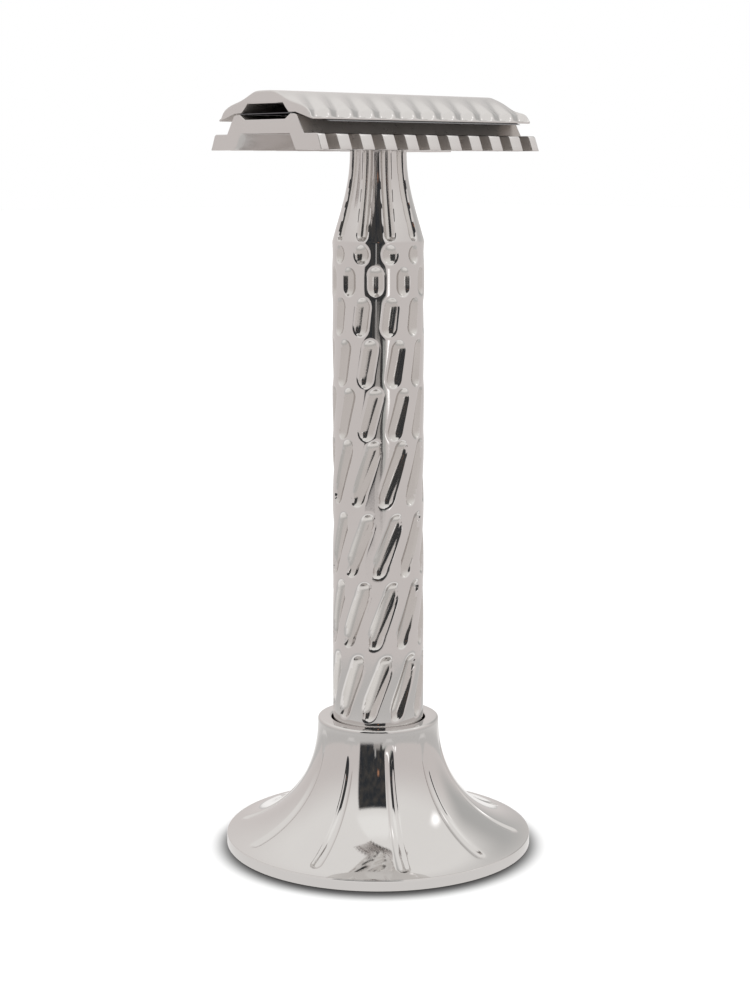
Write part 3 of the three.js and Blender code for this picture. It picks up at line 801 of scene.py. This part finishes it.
def top_cap():
    """The scalloped cap, with a small round along its end edges."""
    right, shares = cap_right()
    outline = both_sides(right)
    share = np.concatenate([shares, shares[::-1]])
    normals = inward(outline)
    edge = 0.24
    outer = outline[:, 1] > np.interp(np.abs(outline[:, 0]), [0, 6.6, LIP_HALF], [7.5, 5.2, 4.3])
    rounding = np.where(outer, 0.3 + 0.7 * smooth(outline[:, 1], 4.4, 5.2), 0.25)
    stations = []

    def section(x, drawn):
        depth = SCALLOP_DEPTH * scallop(x, outline[:, 0]) * share + drawn * rounding
        return outline + normals * depth[:, None]

    for a in EDGE_STEPS:
        x = -HEAD_HALF + edge * (1 - math.cos(a))
        stations.append((x, section(x, edge * (1 - math.sin(a)))))
    for x in np.arange(-HEAD_HALF + edge + 0.14, HEAD_HALF - edge - 0.1, 0.16):
        stations.append((x, section(x, 0.0)))
    for a in EDGE_STEPS[::-1]:
        x = HEAD_HALF - edge * (1 - math.cos(a))
        stations.append((x, section(x, edge * (1 - math.sin(a)))))
    cap = lofted("scalloped_cap", stations, SATIN)
    for x, radius, top in ((0, STUD_RADIUS + 0.04, 7.6), (-PIN_OFFSET, PIN_RADIUS + 0.04, 7.5),
                           (PIN_OFFSET, PIN_RADIUS + 0.04, 7.5)):
        hole = turned("hole", [(radius * 0.5, PLATE_UNDERSIDE + 5.5), (radius, PLATE_UNDERSIDE + 5.5),
                               (radius, PLATE_UNDERSIDE + top), (radius * 0.5, PLATE_UNDERSIDE + top)],
                      SATIN, columns=48, middle=(x, 0))
        carve(cap, hole)
    # The cap's underside takes the darker milled metal, as painted shade under the cap.
    finish_faces(cap, MILLED_AND_SHADED, lambda middle, normal: (
        normal[2] < -0.3 and middle[2] > 4.0 and abs(middle[1]) < 10.1 and abs(middle[0]) < HEAD_HALF - 0.1))
    return cap


settle(top_cap(), "cap", "satin_metal", "top_cap")


def cap_stud():
    """The threaded stud under the cap: a plain shank above, and the thread as a height on a rod."""
    columns = 56
    thread_top = PLATE_UNDERSIDE + 3.0
    bottom = PLATE_UNDERSIDE - 6.6
    top = PLATE_UNDERSIDE + 7.5
    z = np.concatenate([np.arange(bottom, thread_top, 0.05), [thread_top + 0.05, top - 0.2, top]])
    angles = np.linspace(0, FULL_TURN, columns, endpoint=False)
    phase = ((z[:, None] - PLATE_UNDERSIDE) / THREAD_PITCH - angles[None, :] / FULL_TURN) % 1
    rise = np.interp(phase, [0, 0.15, 0.45, 0.7, 1], [0, 0, 1, 1, 0])
    radius = STUD_ROOT + (STUD_RADIUS - STUD_ROOT) * rise
    radius = np.where(z[:, None] > thread_top, STUD_RADIUS, radius)
    radius = np.minimum(radius, (STUD_RADIUS - 0.75) + (z[:, None] - bottom))
    radius = np.where(z[:, None] > top - 0.1, STUD_RADIUS - 0.2, radius)
    rings = np.stack([radius * np.cos(angles), radius * np.sin(angles), z[:, None] + 0 * radius], axis=-1)
    vertices, faces = turned_mesh(rings)
    return make_object("threaded_stud", vertices, faces, BRASS, sharp=40)


settle(cap_stud(), "cap", "brass", "cap_stud")

for side, node in ((-1, "alignment_pin_left"), (1, "alignment_pin_right")):
    pin_low = low(node)[2]
    pin_high = high(node)[2]
    pin = turned(node.replace("alignment", "locating"), [
        (0.4, pin_low),
        *arc(PIN_RADIUS - 0.3, pin_low + 0.3, 0.3, -90, 0, 5),
        *arc(PIN_RADIUS - 0.2, pin_high - 0.2, 0.2, 0, 90, 4),
        (0.4, pin_high),
    ], PLAIN_STEEL, columns=48, middle=(side * PIN_OFFSET, 0))
    settle(pin, "cap", "plain_steel", node)

# The blade and the thread insert keep their own solids.
for node, material in (("blade", BLADE_STEEL), ("thread_insert", BRASS)):
    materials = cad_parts[node].data.materials
    materials.clear()
    materials.append(material)

# ---- Studio ---------------------------------------------------------------------------------------

PAPER_RADIUS = 118.0
SHADOW_SHIFT = 1.2
SHADOW_REACH = 2.7


def floor():
    """A wide pale floor that the metal doesn't mirror, with a contact shadow painted into its colour round
    the stand.
    """
    size = 4000
    vertices = [(-size, -size, 0), (size, -size, 0), (size, size, 0), (-size, size, 0)]
    material = bpy.data.materials.new("floor_paper")
    material.use_nodes = True
    shader = material.node_tree.nodes["Principled BSDF"]
    nodes = Nodes(material.node_tree)
    place = nodes.add("ShaderNodeTexCoord").outputs["Object"]
    # Painted contact shadow: the floor's colour darkens to near black round the stand, centred a little
    # towards the camera.
    toward = SHADOW_SHIFT * MM * np.array([math.sin(-CAMERA_HEADING), math.cos(CAMERA_HEADING), 0])
    moved = nodes.add("ShaderNodeVectorMath", {0: place, 1: tuple(toward)}, operation="ADD")
    shifted = moved.outputs["Vector"]
    reach = nodes.add("ShaderNodeVectorMath", {"Vector": shifted}, operation="LENGTH").outputs["Value"]
    painted_contact_shadow = nodes.span(reach, (STAND_RADIUS - SHADOW_SHIFT) * MM, (STAND_RADIUS + SHADOW_REACH) * MM,
                       0.12, 1.0, True)
    nodes.put(shader.inputs["Base Color"], nodes.blend(painted_contact_shadow, (0.02, 0.02, 0.02, 1), (0.92, 0.92, 0.92, 1)))
    shader.inputs["Roughness"].default_value = 0.9
    shader.inputs["Specular IOR Level"].default_value = 0.0
    sheet = make_object("floor", vertices, [(0, 1, 2, 3)], material)
    sheet.location.z = -0.00002
    sheet.visible_glossy = False


def lit_paper():
    """The bright round sheet that the razor stands on, as the metal mirrors it: a glow seen only in
    reflections, with painted shade close to the stand and fading far out.
    """
    rings = rings_of([(2.0, 0.0), (PAPER_RADIUS, 0.0)], np.linspace(0, FULL_TURN, 96, endpoint=False))
    vertices, faces = turned_mesh(rings, poles=(True, False))
    material = bpy.data.materials.new("lit_paper")
    material.use_nodes = True
    nodes = Nodes(material.node_tree)
    material.node_tree.nodes.clear()
    place = nodes.add("ShaderNodeTexCoord").outputs["Object"]
    reach = nodes.add("ShaderNodeVectorMath", {"Vector": place}, operation="LENGTH").outputs["Value"]
    # Painted shade: the glow is dimmer close to the stand, where the stand shades the paper.
    painted_stand_shade = nodes.span(reach, (STAND_RADIUS + 4) * MM, (STAND_RADIUS + 14) * MM, 0.86, 1.02, True)
    far = nodes.span(reach, (STAND_RADIUS + 28) * MM, (STAND_RADIUS + 62) * MM, 1.0, 0.64, True)
    glow = nodes.math("MULTIPLY", painted_stand_shade, far)
    light = nodes.add("ShaderNodeEmission", {"Color": (1.0, 0.985, 0.97, 1), "Strength": glow})
    output = nodes.add("ShaderNodeOutputMaterial")
    nodes.put(output.inputs["Surface"], light.outputs[0])
    sheet = make_object("lit_paper", vertices, faces, material)
    sheet.location.z = -0.00001
    sheet.visible_camera = False
    sheet.visible_diffuse = False
    sheet.visible_shadow = False


def studio():
    """A soft studio as the world: a pale room, bright below, with one dark card by the camera."""
    world = bpy.data.worlds.new("studio")
    bpy.context.scene.world = world
    world.use_nodes = True
    nodes = Nodes(world.node_tree)
    world.node_tree.nodes.clear()
    direction = nodes.add("ShaderNodeTexCoord").outputs["Generated"]
    # Turned so that its -Y is the side that the front of the razor faces.
    turned_room = nodes.add("ShaderNodeVectorRotate", {"Vector": direction, "Angle": -CAMERA_HEADING},
                            rotation_type="Z_AXIS").outputs[0]
    parts = nodes.add("ShaderNodeSeparateXYZ", {"Vector": turned_room})
    x, y, z = parts.outputs
    azimuth = nodes.math("ARCTAN2", x, nodes.math("MULTIPLY", y, -1.0))
    elevation = nodes.math("ARCSINE", z)

    def window(value, start, end, soft):
        rise = nodes.span(value, start - soft, start + soft, 0.0, 1.0, True)
        fall = nodes.span(value, end - soft, end + soft, 1.0, 0.0, True)
        return nodes.math("MULTIPLY", rise, fall)

    radians = math.radians

    def card(left, right, bottom, top, soft=1.5):
        return nodes.math("MULTIPLY", window(azimuth, radians(left), radians(right), radians(soft)),
                          window(elevation, radians(bottom), radians(top), radians(soft)))

    overhead = nodes.span(elevation, radians(4), radians(48), 0.0, 1.0, True)
    room = nodes.blend(overhead, (0.76, 0.72, 0.705, 1), (0.97, 0.96, 0.94, 1))
    room = nodes.blend(card(122, 170, 4, 36, 12.0), room, (0.56, 0.56, 0.55, 1))
    room = nodes.blend(card(-40, 40, 56, 82, 6.0), room, (1.07, 1.07, 1.05, 1))
    room = nodes.blend(card(93, 103, 42, 50, 5.0), room, (2.0, 2.0, 2.0, 1))
    room = nodes.blend(card(23.5, 28.5, -7, -2.5, 0.8), room, (1.7, 1.7, 1.7, 1))
    mottled = nodes.noise(direction, 9.0, 3.0)
    mottling = nodes.span(mottled, 0.4, 0.7, 0.0, 1.0)
    dark = nodes.blend(mottling, (0.035, 0.039, 0.045, 1), (0.085, 0.078, 0.07, 1))
    dark = nodes.blend(card(-1.5, 1.5, 13, 18, 1.0), dark, (0.5, 0.25, 0.15, 1))
    dark = nodes.blend(card(-6.5, -4.0, -4.5, 1.5, 0.6), dark, (0.5, 0.49, 0.48, 1))
    dark = nodes.blend(card(-8.6, 4.2, -14, -4.5, 0.8), dark, (0.42, 0.4, 0.385, 1))
    dark = nodes.blend(card(11.2, 40, -14, -4.5, 0.8), dark, (0.52, 0.53, 0.51, 1))
    mirrored = nodes.blend(card(-34, 18.5, -9, 50), room, dark)
    path = nodes.add("ShaderNodeLightPath")
    seen = nodes.blend(path.outputs["Is Glossy Ray"], (1.25, 1.25, 1.25, 1), mirrored)
    colour = nodes.blend(path.outputs["Is Camera Ray"], seen, (1.0, 1.0, 1.0, 1))
    background = nodes.add("ShaderNodeBackground", {"Color": colour})
    output = nodes.add("ShaderNodeOutputWorld")
    nodes.put(output.inputs["Surface"], background.outputs[0])


floor()
lit_paper()
studio()
bpy.context.scene.view_settings.view_transform = "Standard"
